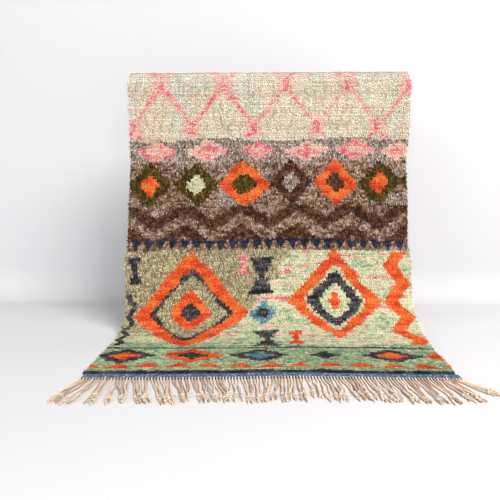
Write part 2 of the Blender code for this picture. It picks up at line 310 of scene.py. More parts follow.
def linear_all(shades):
    return np.array([linear(shade) for shade in shades.split()])


# How far a shade of the yarn runs across and down, and its shades in the order they change over
Yarn = namedtuple("Yarn", "run rise shades")
YARNS = {
    "ecru": Yarn(0.008, 0.045, "C8B496 D6C4A6 E0D0B8 E8D8C2 F0DECA F2D8C4"),
    "sage": Yarn(0.008, 0.045, "BEBEA8 CCCCB6 D6D4C2 DEDCCA E4E0CE"),
    "coral": Yarn(0.030, 0.010, "DC6478 E27884 E8828A F2A294 F0BCA4 E8C8B0"),
    "pink": Yarn(0.030, 0.010, "E89C9C EAA8A4 F0B8AC F2C4B0 ECC8B4 E8CBB0"),
    "grey": Yarn(0.004, 0.004, "5C4E48 786860 928276 AA988A BEAEA0 D4C4B4"),
    "brown": Yarn(0.020, 0.011, "2A150A 3E2214 503020 623C28 7C5038"),
    "taupe": Yarn(0.020, 0.011, "4A3424 664A3A 806653 94765F AA8C78 C0A692"),
    "olive": Yarn(0.010, 0.012, "281E06 3A2C0A 4C3A0E 5E4812 766016"),
    "orange": Yarn(0.080, 0.030, "CC4020 E25028 EE602C F46E2E FA8240"),
    "khaki": Yarn(0.004, 0.005, "786C4C 908664 AAA07A BEB48E D2C8A4"),
    "pale_green": Yarn(0.025, 0.011, "A4BA8C C0CA9C D2D4AC DEDAB8 E6DCC0 EED2BA"),
    "green": Yarn(0.020, 0.011, "649E72 84A87E A0B48E B4C29A C6CEA8 D4D6B8"),
    "charcoal": Yarn(0.040, 0.012, "1C1C20 2E2C30 403C40 524E50 6C6868"),
    "ink": Yarn(0.050, 0.012, "14181C 22282C 384240 5A6458"),
    "navy": Yarn(0.020, 0.011, "181A2C 24283E 363C54"),
    "teal": Yarn(0.020, 0.011, "44768A 6294A2 88ACB0"),
}
YARN_NUMBER = {name: number for number, name in enumerate(YARNS)}
PILE_GAIN = 1.14  # how much lighter the yarn is than the pile looks, because locks shade one another
SHADE_SPREAD = 0.55  # how far a yarn drifts from its middle shade, as a share of them all
SHADE_CHANCE = 0.20
KNOT_CHANCE = 0.08  # how much the brightness changes from knot to knot and from row to row
ROW_CHANCE = 0.03
DRIFT = 0.06  # how much it changes over a streak or a patch
STAIR = 0.022  # the stairs in a slanted edge, three knots across by two rows

# A lozenge or an hourglass: its middle, half its width and height, and its yarns from the rim inwards
Motif = namedtuple("Motif", "x down half_width half_height yarns")

# An upright zigzag line: its middle, ends, swing to each side, pitch, half thickness and yarn
Zigzag = namedtuple("Zigzag", "x start stop swing pitch half_thickness yarn")
UPPER_LOZENGES = rows_of(
    Motif,
    (-0.80, 0.545, 0.150, 0.072, "coral pink"),
    (-0.44, 0.550, 0.165, 0.078, "pink coral"),
    (-0.08, 0.540, 0.140, 0.070, "coral pink"),
    (0.27, 0.552, 0.170, 0.080, "pink coral"),
    (0.62, 0.545, 0.150, 0.072, "coral pink"),
    (0.93, 0.550, 0.130, 0.068, "pink coral"),
    (-0.86, 0.775, 0.175, 0.170, "olive orange"),
    (-0.52, 0.775, 0.175, 0.165, "olive pale_green"),
    (-0.18, 0.780, 0.180, 0.175, "orange olive"),
    (0.16, 0.770, 0.175, 0.165, "brown grey"),
    (0.48, 0.780, 0.170, 0.170, "orange brown"),
    (0.80, 0.775, 0.170, 0.165, "olive orange"),
    (1.07, 0.775, 0.120, 0.150, "olive brown"),
)
LOWER_LOZENGES = rows_of(
    Motif,
    (-0.54, 1.680, 0.400, 0.440, "orange charcoal khaki orange charcoal"),
    (0.46, 1.620, 0.330, 0.380, "orange pale_green charcoal pale_green orange"),
    (-0.04, 1.700, 0.090, 0.110, "teal charcoal"),
    (-0.85, 2.285, 0.190, 0.130, "charcoal orange"),
    (-0.46, 2.285, 0.200, 0.130, "orange charcoal"),
    (-0.06, 2.280, 0.190, 0.125, "charcoal teal"),
    (0.33, 2.285, 0.190, 0.130, "green charcoal"),
    (0.72, 2.280, 0.190, 0.125, "charcoal orange"),
    (1.03, 2.285, 0.120, 0.110, "orange charcoal"),
)
HOURGLASSES = rows_of(
    Motif,
    (-0.05, 1.430, 0.085, 0.125, "charcoal"),
    (-0.02, 1.985, 0.090, 0.120, "charcoal"),
    (0.17, 1.985, 0.060, 0.090, "orange"),
    (-0.93, 1.370, 0.060, 0.095, "charcoal"),
    (-0.18, 1.345, 0.045, 0.060, "coral"),
)
ZIGZAGS = rows_of(
    Zigzag,
    (0.900, 1.26, 2.08, 0.050, 0.27, 0.050, "orange"),
    (-0.955, 1.52, 2.08, 0.022, 0.14, 0.020, "charcoal"),
)
RIM_SHARES = {2: (0.0, 0.5), 5: (0.0, 0.28, 0.36, 0.62, 0.82)}  # how far in each yarn starts
WAIST = 0.22  # an hourglass's width where its triangles meet, as a share of its full one

# The chart's bands, between two distances down from the top of the fold
UPPER_FIELD = (-1.0, 0.47)
TRELLIS_FIELD = (-1.0, 0.45)
SMALL_LOZENGE_BAND = (0.47, 0.62)
TALL_LOZENGE_BAND = (0.62, 0.93)
CHEVRON_BAND = (0.93, 1.17)
UPPER_TEETH = (1.17, 1.245)
LOWER_FIELD = (1.245, 3.0)
DIVIDING_LINE = (2.12, 2.145)
LOWER_TEETH = (2.42, 2.50)
INK_LINE_START = 2.549


def cloud(x, y, size_x, size_y, seed):
    """Smooth random values from -1 to 1 that change over the given sizes."""
    lattice = default_rng(seed).uniform(-1.0, 1.0, (97, 97))
    u, v = x / size_x + 40.0, y / size_y + 40.0
    i, j = np.floor(u).astype(int), np.floor(v).astype(int)
    a, b = smooth_step(u - i), smooth_step(v - j)
    i, j = i % 96, j % 96
    return read_between(lattice, i, j, a, b)


def from_nearest(x, pitch, shift=0.0):
    """The signed distance to the nearest of a row of centres a pitch apart."""
    return (x - shift + pitch / 2) % pitch - pitch / 2


def triangle_wave(x, pitch):
    """Runs from 0 to 1 and back over each pitch."""
    return 2 * np.abs(from_nearest(x, pitch)) / pitch


def stepped(distance):
    """A distance held to whole steps, as a slanted edge climbs in stairs of knots."""
    return (np.floor(np.abs(distance) / STAIR) + 0.5) * STAIR


def put(chart, mask, yarn):
    chart[mask] = YARN_NUMBER[yarn]


def draw_lozenge(chart, x, d, motif):
    """Lozenges inside one another, with stepped sides."""
    inside = 1 - stepped(x - motif.x) / motif.half_width - stepped(d - motif.down) / motif.half_height
    yarns = motif.yarns.split()
    for share, yarn in zip(RIM_SHARES[len(yarns)], yarns):
        put(chart, inside > share, yarn)


def draw_hourglass(chart, x, d, motif):
    """Two triangles tip to tip."""
    beside, above = stepped(x - motif.x), stepped(d - motif.down)
    waist = WAIST * motif.half_width
    widening = waist + (motif.half_width - waist) * above / motif.half_height
    put(chart, (above < motif.half_height) & (beside < widening), motif.yarns)


def draw_zigzag(chart, x, d, motif):
    middle = motif.x + motif.swing * (2 * triangle_wave(d, motif.pitch) - 1)
    line = (np.abs(x - middle) < motif.half_thickness) & (d > motif.start) & (d < motif.stop)
    put(chart, line, motif.yarn)


def pale_field(chart, x, d, area):
    """The upper field of two undyed wools, which change over in upright streaks."""
    put(chart, area, "ecru")
    cool = 0.7 * cloud(x, d, 0.11, 0.42, 12) + 0.3 * cloud(x, d, 0.30, 0.03, 13)
    streak = cloud(x, d, 0.011, 0.050, 16)
    put(chart, area & (cool + 0.9 * streak > 0.20), "sage")


def trellis(chart, x, d, area):
    """A worn coral lattice over the upper field, with a small lozenge in each mesh."""
    wide, tall = 0.44, 0.58
    rising = from_nearest(x / wide + d / tall, 1.0, 0.42)
    falling = from_nearest(x / wide - d / tall, 1.0, 0.10)
    line = np.minimum(np.abs(rising), np.abs(falling))
    worn = cloud(x, d, 0.16, 0.14, 14)
    put(chart, area & (line < 0.070 + 0.040 * worn), "pink")
    put(chart, area & (line < 0.030 + 0.034 * worn), "coral")
    for shift_x, shift_d in ((0.26 * wide, 0.16 * tall), (0.76 * wide, 0.66 * tall)):
        beside = stepped(from_nearest(x, wide, shift_x))
        above = stepped(from_nearest(d, tall, shift_d))
        eye = 1 - beside / 0.070 - above / 0.085
        put(chart, area & (eye > 0), "pink")
        put(chart, area & (eye > 0.40), "coral")


def teeth(chart, x, area, depth, pitch, yarn, ground):
    """A row of triangles that stand on the band's lower side; depth runs from 0 at its top to 1."""
    put(chart, area, ground)
    put(chart, area & (depth > triangle_wave(x, pitch)), yarn)


def chevrons(chart, x, d, area, pitch, swing, stripe, yarns):
    """Zigzag stripes across the whole width."""
    level = np.floor((d + swing * triangle_wave(x, pitch)) / stripe).astype(int) % len(yarns)
    for index, yarn in enumerate(yarns):
        put(chart, area & (level == index), yarn)


def lower_field(chart, x, d, area):
    """The lower field, which drifts from khaki through pale green to green as the dye lots changed."""
    streak = cloud(x, d, 0.40, 0.022, 21)
    change_over = 0.62 * smooth_step((x + 0.30) / 0.5) * (d < 2.0)
    drift = d + change_over + 0.10 * cloud(x, d, 0.35, 0.16, 22) + 0.05 * streak
    put(chart, area, "pale_green")
    put(chart, area & (drift < 1.86), "khaki")
    put(chart, area & (d + 0.07 * streak + 0.05 * cloud(x, d, 0.3, 0.2, 23) > 2.06), "green")
    fleck = cloud(x, d, 0.13, 0.017, 24)
    open_ground = area & (chart == YARN_NUMBER["pale_green"])
    put(chart, open_ground & (fleck > 0.62), "coral")
    put(chart, open_ground & (fleck < -0.60), "green")


def knot_chart(x, d):
    """Which yarn each knot is tied with, band by band from the tail to the front."""
    ink_line = d + 0.012 * cloud(x, d, 0.09, 1.0, 25) > INK_LINE_START
    x, d = (
        x + 0.010 * cloud(x, d, 0.30, 0.10, 3) + 0.004 * cloud(x, d, 0.03, 0.03, 6),
        d + 0.012 * cloud(x, d, 0.22, 0.40, 4) + 0.006 * cloud(x, d, 0.05, 0.05, 5),
    )
    chart = np.zeros(x.shape, dtype=int)

    def inside(start, stop):
        return (d >= start) & (d < stop)

    def depth(start, stop):
        return (d - start) / (stop - start)

    pale_field(chart, x, d, inside(*UPPER_FIELD))
    trellis(chart, x, d, inside(*TRELLIS_FIELD))
    put(chart, inside(*SMALL_LOZENGE_BAND), "grey")
    put(chart, inside(*TALL_LOZENGE_BAND), "taupe")
    put(chart, inside(*TALL_LOZENGE_BAND) & (cloud(x, d, 0.16, 0.10, 15) > 0.25), "grey")
    chevrons(chart, x, d, inside(*CHEVRON_BAND), 0.40, 0.13, 0.085, ("brown", "taupe"))
    teeth(chart, x, inside(*UPPER_TEETH), 1 - depth(*UPPER_TEETH), 0.085, "navy", "taupe")
    lower_field(chart, x, d, inside(*LOWER_FIELD))
    for motif in UPPER_LOZENGES + LOWER_LOZENGES:
        draw_lozenge(chart, x, d, motif)
    for motif in HOURGLASSES:
        draw_hourglass(chart, x, d, motif)
    for motif in ZIGZAGS:
        draw_zigzag(chart, x, d, motif)
    put(chart, inside(*DIVIDING_LINE), "charcoal")
    teeth(chart, x, inside(*LOWER_TEETH), depth(*LOWER_TEETH), 0.17, "orange", "green")
    put(chart, ink_line, "ink")
    return chart


def knot_colours(chart, x, d):
    """A linear colour for each knot: its yarn's shade there, with the row's and the dye lot's drift."""
    chance = default_rng(11)
    colours = np.empty((*chart.shape, 3))
    for number, yarn in enumerate(YARNS.values()):
        mine = chart == number
        shades = linear_all(yarn.shades)
        order = 0.5 + SHADE_SPREAD * cloud(x[mine], d[mine], yarn.run, yarn.rise, 60 + number)
        order += SHADE_CHANCE * chance.standard_normal(len(order))
        colours[mine] = shades[np.clip(order * len(shades), 0, len(shades) - 1).astype(int)]
    bright = 1 + KNOT_CHANCE * chance.standard_normal(chart.shape)
    bright *= 1 + ROW_CHANCE * chance.standard_normal((chart.shape[0], 1))
    bright *= 1 + DRIFT * cloud(x, d, 1.4, 0.035, 8) + DRIFT * cloud(x, d, 0.25, 0.12, 9)
    return np.clip(PILE_GAIN * colours * bright[..., None], 0.004, 0.98)


def knot_grid():
    """The flat places of all knots, a row of the rug to each row of the arrays."""
    across = (np.arange(KNOT_COLUMNS) + 0.5) / KNOT_COLUMNS * 2 - 1
    down = -TAIL_RUN + (np.arange(KNOT_ROWS) + 0.5) * ROW_PITCH
    return np.meshgrid(across, down)


KNOT_ACROSS, KNOT_DOWN = knot_grid()
KNOT_CHART = knot_chart(KNOT_ACROSS * HALF_WIDTH, KNOT_DOWN)
KNOT_COLOURS = knot_colours(KNOT_CHART, KNOT_ACROSS * HALF_WIDTH, KNOT_DOWN)


# Meshes

def object_from_arrays(name, points, corners, sizes):
    """A mesh object from its points, its faces' corner numbers end to end, and each face's corner count."""
    mesh = bpy.data.meshes.new(name)
    mesh.vertices.add(len(points))
    mesh.vertices.foreach_set("co", np.ascontiguousarray(points, dtype=np.float32).ravel())
    mesh.loops.add(len(corners))
    mesh.loops.foreach_set("vertex_index", np.ascontiguousarray(corners, dtype=np.int32))
    mesh.polygons.add(len(sizes))
    starts = np.concatenate(([0], np.cumsum(sizes)[:-1]))
    mesh.polygons.foreach_set("loop_start", starts.astype(np.int32))
    mesh.update(calc_edges=True)
    mesh.shade_smooth()
    made = bpy.data.objects.new(name, mesh)
    bpy.context.scene.collection.objects.link(made)
    return made


def paint(made, domain, colours):
    """Stores a linear colour on each point or face corner."""
    attribute = made.data.color_attributes.new(COLOUR_NAME, "FLOAT_COLOR", domain)
    alpha = np.ones((len(colours), 1))
    attribute.data.foreach_set("color", np.hstack([colours, alpha]).astype(np.float32).ravel())


def paint_each(made, pattern, colour, chance, darkest, lightest):
    """Gives each repeat of a pattern its own shade of one colour."""
    size = len(pattern.points)
    shades = linear(colour) * chance.uniform(darkest, lightest, (len(made.data.vertices) // size, 1))
    paint(made, "POINT", np.repeat(shades, size, 0))


def give_map(made, places):
    """The map that a pattern is kept through: a place from 0 to 1 for each face corner."""
    layer = made.data.uv_layers.new(name=BAKE_MAP)
    layer.data.foreach_set("uv", np.ascontiguousarray(places, dtype=np.float32).ravel())


# A small modelled shape that is repeated: its points, and its faces as rows of corner numbers
Pattern = namedtuple("Pattern", "points corners sizes")

LYING = (math.radians(90), 0, 0)  # lays what is modelled upright along Y


def apply_transform():
    bpy.ops.object.transform_apply(location=False, rotation=True, scale=True)


def take_pattern(made):
    """Reads a modelled object as a pattern and removes the object."""
    mesh = made.data
    points = np.array([v.co[:] for v in mesh.vertices])
    corners = np.array([i for p in mesh.polygons for i in p.vertices])
    sizes = np.array([len(p.vertices) for p in mesh.polygons])
    bpy.data.objects.remove(made, do_unlink=True)
    return Pattern(points, corners, sizes)


def repeat_pattern(name, pattern, origins, x_axes, y_axes, z_axes):
    """One joined mesh with the pattern set at every origin, along the axes given there."""
    shape = pattern.points
    points = origins[:, None] + shape[None, :, 0:1] * x_axes[:, None]
    points = points + shape[None, :, 1:2] * y_axes[:, None] + shape[None, :, 2:3] * z_axes[:, None]
    shifts = np.arange(len(origins))[:, None] * len(shape)
    corners = (pattern.corners[None] + shifts).ravel()
    return object_from_arrays(name, points.reshape(-1, 3), corners, np.tile(pattern.sizes, len(origins)))


LOCK_SWELL = (0, 0.0050, 0.0044)  # from a lock's root to where it is widest
LOCK_TIP = (0, 0.0130, 0.0022)  # and from there to its tip
LOCK_LEVELS = (0, 0.0044, 0.0066)  # the heights of the root, the widest place and the tip
LOCK_PAINTED_SHADE = (0.55, 0.92, 1.06)  # painted shade: how bright the yarn is painted there, darkest at the root where the locks shade one another and a little lighter at the tip


def model_lock():
    """One lock of pile: three-sided, swelling above its root and drawn out to a tip that lies along +Y."""
    bpy.ops.mesh.primitive_circle_add(vertices=3, radius=0.0036, fill_type="NOTHING")
    bpy.ops.object.mode_set(mode="EDIT")
    bpy.ops.mesh.extrude_region_move(TRANSFORM_OT_translate={"value": LOCK_SWELL})
    bpy.ops.transform.resize(value=(1.36, 1.15, 1.0), center_override=LOCK_SWELL)
    bpy.ops.mesh.extrude_region_move(TRANSFORM_OT_translate={"value": LOCK_TIP})
    bpy.ops.mesh.merge(type="CENTER")
    bpy.ops.object.mode_set(mode="OBJECT")
    return take_pattern(bpy.context.object)


def turned(x_axes, y_axes, angles):
    """Two unit axes turned in their own plane."""
    c, s = np.cos(angles)[:, None], np.sin(angles)[:, None]
    return x_axes * c + y_axes * s, y_axes * c - x_axes * s


def bed_lift(down):
    """How far the knots' collars reach above the underside, worn down towards the two ends."""
    from_end = np.minimum(down + TAIL_RUN, FRONT_RUN - down)
    return BED_LIFT * (END_LIFT_SHARE + (1 - END_LIFT_SHARE) * smooth_step(from_end / END_FADE))


def crest_rise(down):
    """How far the locks stand up at each distance from the top of the fold, in radians."""
    return (CREST_RISE * (1 - smooth_step(np.abs(down) / CREST_REACH)))[:, None]


def lock_directions(chance, across, down, place):
    """Unit directions to each lock's side and along it, turned by chance, by brushing and at the edges."""
    sideways = np.tile((1.0, 0.0, 0.0), (len(across), 1))
    edge = smooth_step((np.abs(across) - (1 - EDGE_ZONE)) / EDGE_ZONE) * np.sign(across)
    brushed = BRUSHED_TURN * cloud(across, down, 0.16, 0.12, 43)
    rising = crest_rise(down)
    onward = place.onward * np.cos(rising) + place.outward * np.sin(rising)
    return turned(sideways, onward, chance.normal(0, LOCK_TURN, len(across)) + brushed - EDGE_TURN * edge)


def lock_sizes(chance, down):
    """Each lock's width, length and height, as shares of the modelled lock's own."""
    count = len(down)
    worn = (bed_lift(down) / BED_LIFT)[:, None]
    room = np.clip((FRONT_RUN - down) / LOCK_REACH, SHORTEST_LOCK, 1)[:, None]
    wide = chance.uniform(*LOCK_WIDTHS, count)[:, None]
    long = chance.uniform(*LOCK_LENGTHS, count)[:, None] * (0.35 + 0.65 * worn) * room
    tall = chance.uniform(*LOCK_HEIGHTS, count)[:, None] * worn
    return wide, long, tall


def lock_colours(lock, colours, down):
    """Colours for the points of every lock: painted shade that darkens them at the root, and a painted
    highlight that lightens them near the top of the fold.
    """
    # painted shade along each lock, less of it where the locks stand up at the crest
    depth = np.interp(lock.points[:, 2], LOCK_LEVELS, LOCK_PAINTED_SHADE)
    depth = 1 + (depth[None, :, None] - 1) * (1 - crest_rise(down)[:, None] / CREST_RISE)
    # painted highlight: mixed towards a pale wool near the top of the fold
    highlight = CREST_HIGHLIGHT * (1 - smooth_step(np.abs(down) / HIGHLIGHT_REACH))[:, None, None]
    highlighted = colours[:, None] * depth * (1 - highlight) + linear(HIGHLIGHT_WOOL) * highlight
    return highlighted.reshape(-1, 3)


def make_pile(name, lock, first_row, last_row):
    """The locks of some rows of knots, one lock to a knot, each a little different."""
    chance = default_rng(100 + first_row)
    rows = slice(first_row, last_row)
    across, down = KNOT_ACROSS[rows].ravel(), KNOT_DOWN[rows].ravel()
    colours = KNOT_COLOURS[rows].reshape(-1, 3)
    ridge = RIDGE_HEIGHT * np.cos(2 * math.pi * down / RIDGE_PITCH + 0.8 * cloud(across, down, 0.2, 0.3, 41))
    parting = PARTING_DEPTH * smooth_step((cloud(across, down, 0.35, 0.026, 42) - 0.30) / 0.35)
    across = across + chance.normal(0, STRAY_ACROSS, len(across)) * KNOT_WIDTH / HALF_WIDTH
    down = down + chance.normal(0, STRAY_DOWN, len(down)) * ROW_PITCH
    place = hang(across, down, bed_lift(down) - LOCK_SINK + ridge - parting)
    x_axes, y_axes = lock_directions(chance, across, down, place)
    wide, long, tall = lock_sizes(chance, down)
    made = repeat_pattern(name, lock, place.point, x_axes * wide, y_axes * long, place.outward * tall)
    paint(made, "POINT", lock_colours(lock, colours, down))
    give_map(made, lock_map(lock, last_row - first_row))
    return made


def lock_map(lock, rows):
    """Each lock's own cell of the map, with its tip in the cell's middle."""
    ring = np.searchsorted((0.002, 0.006), lock.points[:, 2])
    reach = np.array((0.46, 0.30, 0.0))[ring]
    middle = np.array((0.0, 0.0050, 0.0180))[ring]
    turn = np.arctan2(lock.points[:, 1] - middle, lock.points[:, 0])
    own = np.stack([0.5 + reach * np.cos(turn), 0.5 + reach * np.sin(turn)], 1)[lock.corners]
    column, row = np.meshgrid(np.arange(KNOT_COLUMNS), np.arange(rows))
    cells = np.stack([column.ravel(), row.ravel()], 1)
    return ((cells[:, None] + own[None]) / (KNOT_COLUMNS, rows)).reshape(-1, 2)


BACK_SHADE = 0.86  # how bright the yarn looks on the back; the two below are painted shade, darker on the bed seen between the locks and at the sides
BED_PAINTED_SHADE = 0.55
RIM_PAINTED_SHADE = 0.6


def ground_colours():
    """Colours for the ground's face corners: each knot's own on the back, means of them elsewhere, painted
    darker on the bed and the sides as painted shade.
    """
    knots = KNOT_COLOURS.reshape(-1, 3)
    blocks = KNOT_COLOURS.reshape(KNOT_ROWS // 2, 2, KNOT_COLUMNS // 2, 2, 3)
    bed = blocks.mean(axis=(1, 3)).reshape(-1, 3)
    edges = [KNOT_COLOURS[:, 0], KNOT_COLOURS[:, -1], KNOT_COLOURS[0], KNOT_COLOURS[-1]]
    rims = np.vstack([edge.reshape(-1, 2, 3).mean(axis=1) for edge in edges])
    parts = ((knots, BACK_SHADE, 4), (bed, BED_PAINTED_SHADE, 4), (rims, RIM_PAINTED_SHADE, 5))
    return np.vstack([np.repeat(colours * shade, corners, 0) for colours, shade, corners in parts])


def make_ground():
    """The ground weave as one closed sheet: a knot's back to each face below, a coarser bed above."""
    rows, columns = KNOT_ROWS, KNOT_COLUMNS
    across = np.linspace(-1, 1, columns + 1)
    down = np.linspace(-TAIL_RUN, FRONT_RUN, rows + 1)
    grid_across, grid_down = np.meshgrid(across, down)
    below = hang(grid_across, grid_down).point.reshape(-1, 3)
    bed_across, bed_down = grid_across[::2, ::2], grid_down[::2, ::2]
    above = hang(bed_across, bed_down, bed_lift(bed_down) - 0.0015).point.reshape(-1, 3)
    back = np.arange(len(below)).reshape(rows + 1, columns + 1)
    bed = len(below) + np.arange(len(above)).reshape(rows // 2 + 1, columns // 2 + 1)
    back_faces = np.stack([back[:-1, :-1], back[:-1, 1:], back[1:, 1:], back[1:, :-1]], -1).reshape(-1, 4)
    bed_faces = np.stack([bed[:-1, :-1], bed[1:, :-1], bed[1:, 1:], bed[:-1, 1:]], -1).reshape(-1, 4)
    sides = [side_faces(back[:, 0], bed[:, 0]), side_faces(back[:, -1], bed[:, -1])[:, ::-1]]
    sides += [side_faces(back[0], bed[0])[:, ::-1], side_faces(back[-1], bed[-1])]
    walls = np.vstack(sides)
    corners = np.concatenate([back_faces.ravel(), bed_faces.ravel(), walls.ravel()])
    sizes = [4] * (len(back_faces) + len(bed_faces)) + [5] * len(walls)
    made = object_from_arrays("ground_weave", np.vstack([below, above]), corners, np.array(sizes))
    paint(made, "CORNER", ground_colours())
    material_numbers = [0] * len(back_faces) + [1] * (len(sizes) - len(back_faces))
    made.data.polygons.foreach_set("material_index", material_numbers)
    give_ground_map(made, back_faces, bed_faces, walls, grid_across, grid_down)
    return made


def side_faces(fine, coarse):
    """Five-cornered faces that join a fine edge to a coarse one with half as many points."""
    return np.stack([fine[:-2:2], fine[1:-1:2], fine[2::2], coarse[1:], coarse[:-1]], 1)


MAP_HEIGHT = 0.98  # the share of the map's height that the ground weave takes


def give_ground_map(made, back_faces, bed_faces, walls, grid_across, grid_down):
    """The underside takes the left half of the map, and the bed and the sides the right half."""
    flat = np.stack([(grid_across + 1) / 2, (grid_down + TAIL_RUN) / (TAIL_RUN + FRONT_RUN)], -1)
    places = np.vstack([flat.reshape(-1, 2), flat[::2, ::2].reshape(-1, 2)])
    left = places[back_faces.ravel()] * (0.49, MAP_HEIGHT) + (0.005, 0.01)
    right = places[bed_faces.ravel()] * (0.47, MAP_HEIGHT) + (0.505, 0.01)
    rim = places[walls.ravel()] * (0.47, MAP_HEIGHT) + (0.505, 0.01)
    rim[:, 0] = 0.985 + 0.01 * (walls.ravel() >= len(flat.reshape(-1, 2)))
    give_map(made, np.vstack([left, right, rim]))


HEADING_COLUMNS = 4 * STRAND_COUNT
HEADING_ROWS = 40
HEADING_TUCK = 0.004  # how far the heading reaches under the pile
ROWS_PER_RIB = 4
RIB_HEIGHT = 0.0008
WEFT_BEAD = 0.0007  # how far a pass of weft stands out over each warp
WEFT_SINK = 0.0016  # how deep the middle of this relief lies under the full thickness
SHADE_ROWS = 5  # how many rows and columns of faces share a shade
SHADE_COLUMNS = 2
WEFT_BLUES = "3E4E72 303E60 5C6E92 36486A 8A98B0 1E2640 4E5C76"
WEFT_SHARES = (0.24, 0.22, 0.12, 0.18, 0.06, 0.11, 0.07)
DARK_ROWS = 2  # rows of the heading next to the pile that are made darker, widening the dark line at the pile's front edge


def weft_colours():
    """A blue for each face of the heading: passes of weft change shade every few stitches."""
    chance = default_rng(31)
    blues = linear_all(WEFT_BLUES)
    runs = (HEADING_ROWS // SHADE_ROWS, HEADING_COLUMNS // SHADE_COLUMNS)
    coarse = chance.choice(len(blues), runs, p=WEFT_SHARES)
    picked = blues[np.repeat(np.repeat(coarse, SHADE_ROWS, 0), SHADE_COLUMNS, 1)]
    picked *= chance.uniform(0.75, 1.20, (HEADING_ROWS, HEADING_COLUMNS, 1))
    picked[:DARK_ROWS] *= 0.40
    return picked.reshape(-1, 3)


def make_heading():
    """The flat-woven band: ribs of weft that pass over and under the paired warps."""
    bpy.ops.mesh.primitive_grid_add(x_subdivisions=HEADING_COLUMNS, y_subdivisions=HEADING_ROWS, size=2)
    made = bpy.context.object
    made.name = made.data.name = "woven_heading"
    mesh = made.data
    flat = np.array([v.co[:] for v in mesh.vertices])
    across, share = flat[:, 0], (flat[:, 1] + 1) / 2
    back = pile_front(across) - HEADING_TUCK
    forward = back + (front_edge(across) - STRIP_DEPTH - PIECE_GAP - back) * share
    number = share * HEADING_ROWS / ROWS_PER_RIB
    rib = np.cos(2 * math.pi * number)
    bead = np.cos(math.pi * (across + 1) * STRAND_COUNT + math.pi * np.floor(number + 0.5))
    edge = np.minimum(share, 1 - share) * HEADING_ROWS
    height = HEADING_THICKNESS - WEFT_SINK + RIB_HEIGHT * rib + WEFT_BEAD * bead
    height = height * np.clip(edge, 0.25, 1)
    points = np.stack([across * HEADING_HALF_WIDTH, -forward, height - HANG_HEIGHT], 1)
    mesh.vertices.foreach_set("co", points.astype(np.float32).ravel())
    mesh.flip_normals()
    mesh.update()
    mesh.shade_smooth()
    paint(made, "CORNER", np.repeat(weft_colours(), 4, 0))
    own = flat[[i for p in mesh.polygons for i in p.vertices], :2] / 2 + 0.5
    mesh.uv_layers.remove(mesh.uv_layers[0])
    give_map(made, own)
    return made


# The fringe

# A strand's root across the fringe, its length, lean, and sideways pull and sway at its end
Strand = namedtuple("Strand", "x length lean pull sway turn rank")
STRAND_SWAY = 0.008
SWAY_TURNS = 5.0


def strand_plan():
    """Every strand of the fringe, in bunches that draw together and sway as one."""
    chance = default_rng(7)
    pitch = 2 * HEADING_HALF_WIDTH / STRAND_COUNT
    strands = []
    edge = -HEADING_HALF_WIDTH
    for bunch in BUNCHES:
        middle = edge + 0.5 * bunch.strands * pitch
        sway = STRAND_SWAY * chance.uniform(-1.0, 1.0)
        turn = chance.uniform(0.0, math.pi)
        for rank in range(bunch.strands):
            x = edge + (rank + 0.5) * pitch
            length = bunch.length * chance.uniform(0.93, 1.04)
            strands.append(Strand(x, length, bunch.lean, middle - x, sway, turn, rank))
        edge += bunch.strands * pitch
    return strands


ANY_TURN = (0, 6.3)  # radians, about a full turn
STRAND_RADIUS = 0.0047
STRAND_RINGS = 44
STRAND_SIDES = 6
HELD_SHARE = 0.06  # the share of a strand's length that its stitch keeps straight
DRAWN_TOGETHER = (0.10, 0.55)  # the share of the way to its bunch's middle that a strand's end goes
STRAND_STRAY = 0.009  # how far it strays from there
END_STRAY = (-0.006, 0.014)
SLOW_KINK = 0.0046
QUICK_KINK = 0.0022
LAYERS = 3  # the strands of a bunch lie over one another in layers
LAYER_RISE = 0.0044
ROOT_REACH = 0.012  # how far a strand's first stitch lies back over the heading
PAINTED_LIGHT_RIGHT = 0.11  # painted light: how much lighter the warps are painted with each metre towards the right, where more light falls
STRAND_OVAL = (1.12, 0.78)  # the half-widths of a strand's two-ply section, in radii
PLY_TURN = 0.026  # the length of one turn of the twisted plies
KNOT_FROM = 0.74  # the shares of a strand's length between which its knot is tied
KNOT_TO = 0.93
STRAND_SHADES = "EEDECC DCC8B2 F4E8DA CAB096"


def kink(chance, along, swing, turns):
    """A sideways wave of a strand, which starts anywhere in its turn."""
    return swing * np.sin(chance.uniform(*ANY_TURN) + chance.uniform(*turns) * along)


def strand_sideways(chance, strand, along, reach):
    """Where a strand lies across the fringe, point by point."""
    free = np.maximum(along - HELD_SHARE, 0) / (1 - HELD_SHARE)
    ease = smooth_step(free)
    wave = strand.sway * ease * np.sin(strand.turn + SWAY_TURNS * along)
    draw = strand.pull * ease * chance.uniform(*DRAWN_TOGETHER)
    stray = chance.normal(0, STRAND_STRAY) * ease + chance.uniform(*END_STRAY) * free**3
    slow = kink(chance, along, SLOW_KINK, (4, 8))
    quick = kink(chance, along, QUICK_KINK, (11, 17))
    kinks = (slow + quick) * smooth_step(free * 3)
    return strand.x + strand.lean * reach * free + draw + wave + stray + kinks


def strand_height(strand, along, forward):
    """How high a strand's middle lies: in a stitch over the heading, then on the floor or on its bunch."""
    layer = (strand.rank % LAYERS) * LAYER_RISE * smooth_step((along - 0.25) / 0.35)
    settle = 1 - 0.45 * smooth_step((along - 0.8) / 0.2)
    stitch = (HEADING_THICKNESS - 0.0010) * smooth_step(-forward / 0.010 + 0.6)
    return STRAND_RADIUS * STRAND_OVAL[0] + layer * settle + stitch


